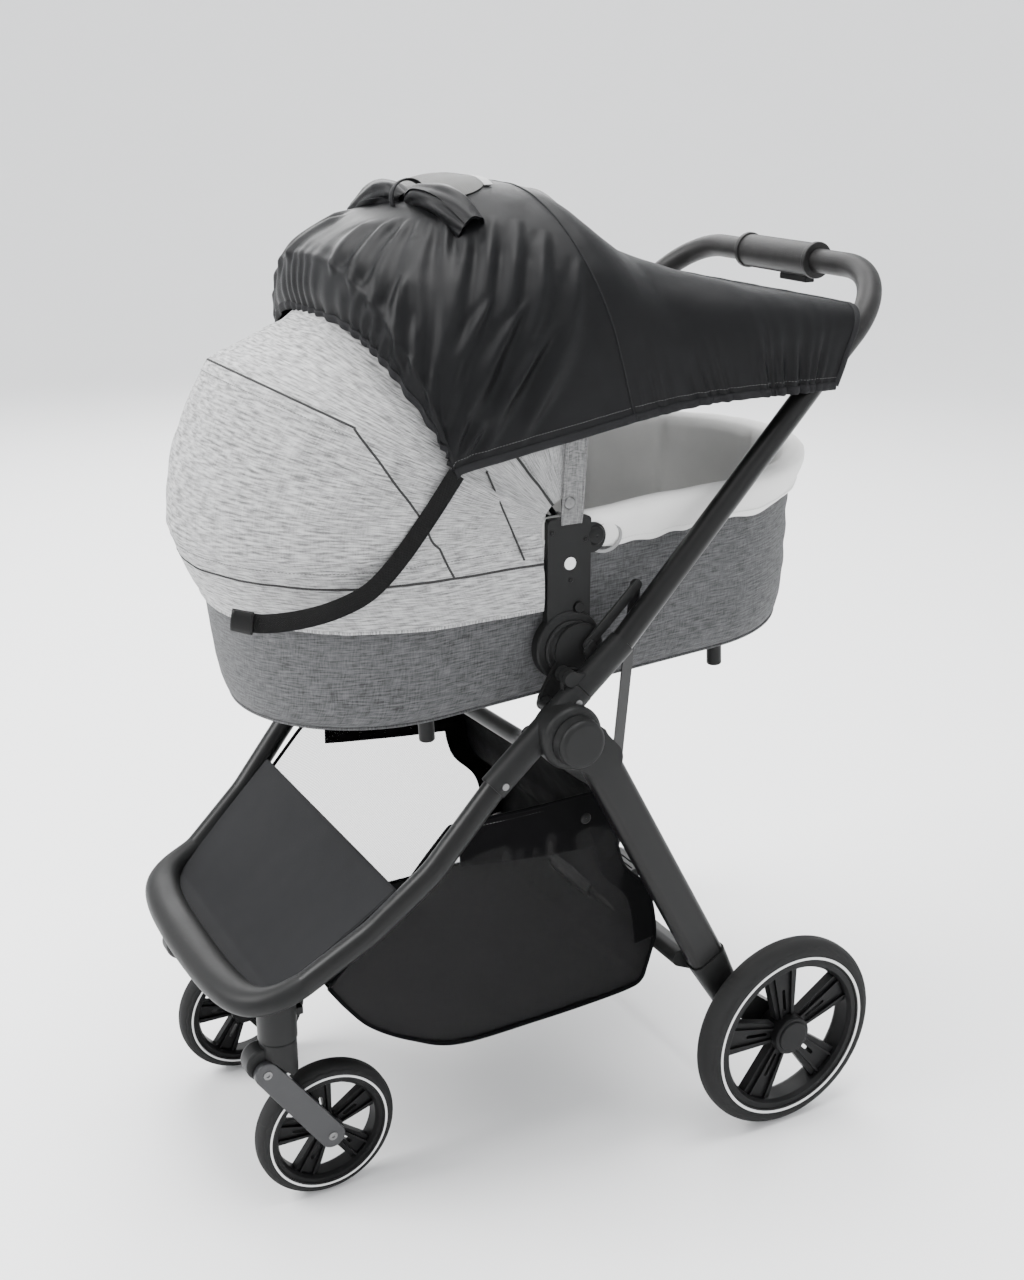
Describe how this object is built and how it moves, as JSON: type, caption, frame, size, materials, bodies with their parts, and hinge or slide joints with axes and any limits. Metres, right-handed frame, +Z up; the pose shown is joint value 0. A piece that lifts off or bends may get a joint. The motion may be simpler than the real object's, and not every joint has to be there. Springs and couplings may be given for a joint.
{
  "type": "baby stroller",
  "caption": "Folding pram stroller: four-wheel tube chassis with swivel casters, lift-off carrycot, folding canopy, stretch sun shade and basket.",
  "frame": {"origin": "on the ground, under the middle of the overall box", "axes": "+Z up, -Y the way it is pushed (front), +X the pram's left side"},
  "size_m": [0.621, 0.86, 1.138],
  "materials": {
    "black_tube": "satin black anodised",
    "dark_plastic": "fine matt texture",
    "black_plastic": "smooth",
    "rim_plastic": "moulded, low sheen",
    "tyre": "foamed, fine grain with a pale ring",
    "arm_metal": "painted grey",
    "steel": "zinc plated",
    "stay_metal": "black painted",
    "rubber": "soft bump stop",
    "grip_leather": "grained leatherette",
    "canopy_cloth": "pale grey melange weave",
    "shell_cloth": "dark grey melange weave",
    "lining_cloth": "off-white padded cotton",
    "shade_cloth": "stretch knit",
    "panel_cloth": "coated cloth",
    "basket_mesh": "mesh and cloth"
  },
  "bodies": {
    "chassis": {"front_bumper": "dark_plastic", "caster_sockets": "dark_plastic", "side_tube_left": "black_tube", "side_tube_right": "black_tube", "hub_casing_left": "dark_plastic", "hub_casing_right": "dark_plastic", "cot_adapters": "dark_plastic", "cross_tube": "black_tube", "footrest_panel": "panel_cloth", "basket": "basket_mesh", "casing_screws": "steel"},
    "handle": {"handle_ferrules": "dark_plastic", "handle_tube_left": "black_tube", "handle_tube_right": "black_tube", "handlebar": "grip_leather", "grip_sleeve": "grip_leather", "handle_links": "stay_metal"},
    "trigger": {"fold_trigger": "black_plastic"},
    "rear_frame": {"leg_knuckle_left": "dark_plastic", "leg_knuckle_right": "dark_plastic", "rear_leg_left": "black_tube", "rear_leg_right": "black_tube", "leg_feet": "dark_plastic", "rear_axle": "steel", "brake_crossbar": "dark_plastic"},
    "stays": {"fold_stays": "stay_metal"},
    "brake": {"brake_pedal": "black_plastic"},
    "carrycot": {"carrycot_tub": "shell_cloth", "carrycot_liner": "lining_cloth", "mattress": "lining_cloth", "carrycot_feet": "dark_plastic", "cot_bracket_left": "dark_plastic", "cot_bracket_right": "dark_plastic", "canopy_pivots": "dark_plastic", "canopy_fabric": "canopy_cloth", "sun_shade": "shade_cloth", "shade_strap": "shade_cloth"},
    "bow_rear": {"canopy_bow_rear": "black_plastic"},
    "bow_middle": {"canopy_bow_middle": "black_plastic"},
    "bow_low": {"canopy_bow_low": "black_plastic"},
    "rear_wheel_left": {"rear_rim_left": "rim_plastic", "rear_tyre_left": "tyre"},
    "caster_left": {"caster_body_left": "dark_plastic", "suspension_block_left": "rubber"},
    "arm_left": {"swing_arm_left": "arm_metal", "front_axle_bolt_left": "steel"},
    "front_wheel_left": {"front_rim_left": "rim_plastic", "front_tyre_left": "tyre"},
    "lock_tab_left": {"swivel_lock_tab_left": "black_plastic"},
    "button_left": {"release_button_left": "black_plastic"},
    "rear_wheel_right": {"rear_rim_right": "rim_plastic", "rear_tyre_right": "tyre"},
    "caster_right": {"caster_body_right": "dark_plastic", "suspension_block_right": "rubber"},
    "arm_right": {"swing_arm_right": "arm_metal", "front_axle_bolt_right": "steel"},
    "front_wheel_right": {"front_rim_right": "rim_plastic", "front_tyre_right": "tyre"},
    "lock_tab_right": {"swivel_lock_tab_right": "black_plastic"},
    "button_right": {"release_button_right": "black_plastic"}
  },
  "joints": [
    {"name": "handle_fold", "type": "hinge", "parent": "chassis", "child": "handle", "pos_m": [0, -0.03351, 0.62754], "axis": [1, 0, 0], "range_deg": [0, 130], "deforming": ["sun_shade"]},
    {"name": "fold_trigger", "type": "slide", "parent": "handle", "child": "trigger", "axis": [0, 0, 1], "range_m": [0, 0.005], "stiffness_N_per_m": 400, "springref_m": -0.002},
    {"name": "rear_frame_fold", "type": "hinge", "parent": "chassis", "child": "rear_frame", "pos_m": [0, -0.042, 0.567], "axis": [1, 0, 0], "range_deg": [0, 43]},
    {"name": "stay_swing", "type": "hinge", "parent": "rear_frame", "child": "stays", "pos_m": [0, 0.041, 0.47], "axis": [1, 0, 0], "range_deg": [0, 28.7]},
    {"name": "brake_press", "type": "hinge", "parent": "rear_frame", "child": "brake", "pos_m": [0, 0.167, 0.23], "axis": [1, 0, 0], "range_deg": [-14, 0]},
    {"name": "carrycot_lift", "type": "slide", "parent": "chassis", "child": "carrycot", "axis": [0, 0, 1], "range_m": [0, 0.12], "deforming": ["sun_shade"]},
    {"name": "canopy_fold", "type": "hinge", "parent": "carrycot", "child": "bow_rear", "pos_m": [0, -0.014, 0.785], "axis": [1, 0, 0], "range_deg": [0, 60], "deforming": ["canopy_fabric", "sun_shade", "shade_strap"]},
    {"name": "canopy_follow_middle", "type": "hinge", "parent": "carrycot", "child": "bow_middle", "pos_m": [0, -0.014, 0.785], "axis": [1, 0, 0], "range_deg": [0, 26.5], "deforming": ["canopy_fabric", "sun_shade", "shade_strap"]},
    {"name": "canopy_follow_low", "type": "hinge", "parent": "carrycot", "child": "bow_low", "pos_m": [0, -0.014, 0.785], "axis": [1, 0, 0], "range_deg": [0, 7.3], "deforming": ["canopy_fabric", "sun_shade", "shade_strap"]},
    {"name": "rear_wheel_spin_left", "type": "hinge", "parent": "rear_frame", "child": "rear_wheel_left", "pos_m": [0.29, 0.251, 0.125], "axis": [1, 0, 0], "continuous": true},
    {"name": "caster_swivel_left", "type": "hinge", "parent": "chassis", "child": "caster_left", "pos_m": [0.15, -0.357, 0.23], "axis": [0, 0, 1], "continuous": true},
    {"name": "suspension_left", "type": "hinge", "parent": "caster_left", "child": "arm_left", "pos_m": [0.16, -0.377, 0.192], "axis": [1, 0, 0], "range_deg": [0, 8], "stiffness_Nm_per_rad": 60, "springref_deg": -8.59, "deforming": ["suspension_block_left"]},
    {"name": "front_wheel_spin_left", "type": "hinge", "parent": "arm_left", "child": "front_wheel_left", "pos_m": [0.143, -0.303, 0.085], "axis": [1, 0, 0], "continuous": true},
    {"name": "swivel_lock_left", "type": "slide", "parent": "chassis", "child": "lock_tab_left", "axis": [0, 0, 1], "range_m": [-0.008, 0]},
    {"name": "cot_release_left", "type": "slide", "parent": "carrycot", "child": "button_left", "axis": [-1, 0, 0], "range_m": [0, 0.003], "stiffness_N_per_m": 500, "springref_m": -0.002},
    {"name": "rear_wheel_spin_right", "type": "hinge", "parent": "rear_frame", "child": "rear_wheel_right", "pos_m": [-0.29, 0.251, 0.125], "axis": [1, 0, 0], "continuous": true},
    {"name": "caster_swivel_right", "type": "hinge", "parent": "chassis", "child": "caster_right", "pos_m": [-0.15, -0.357, 0.23], "axis": [0, 0, 1], "continuous": true},
    {"name": "suspension_right", "type": "hinge", "parent": "caster_right", "child": "arm_right", "pos_m": [-0.16, -0.377, 0.192], "axis": [1, 0, 0], "range_deg": [0, 8], "stiffness_Nm_per_rad": 60, "springref_deg": -8.59, "deforming": ["suspension_block_right"]},
    {"name": "front_wheel_spin_right", "type": "hinge", "parent": "arm_right", "child": "front_wheel_right", "pos_m": [-0.143, -0.303, 0.085], "axis": [1, 0, 0], "continuous": true},
    {"name": "swivel_lock_right", "type": "slide", "parent": "chassis", "child": "lock_tab_right", "axis": [0, 0, 1], "range_m": [-0.008, 0]},
    {"name": "cot_release_right", "type": "slide", "parent": "carrycot", "child": "button_right", "axis": [1, 0, 0], "range_m": [0, 0.003], "stiffness_N_per_m": 500, "springref_m": -0.002}
  ],
  "couplings": [
    {"joint": "rear_frame_fold", "follows": "handle_fold", "ratio": 0.33},
    {"joint": "stay_swing", "follows": "handle_fold", "ratio": 0.22},
    {"joint": "canopy_follow_middle", "follows": "canopy_fold", "ratio": 0.44},
    {"joint": "canopy_follow_low", "follows": "canopy_fold", "ratio": 0.12}
  ]
}
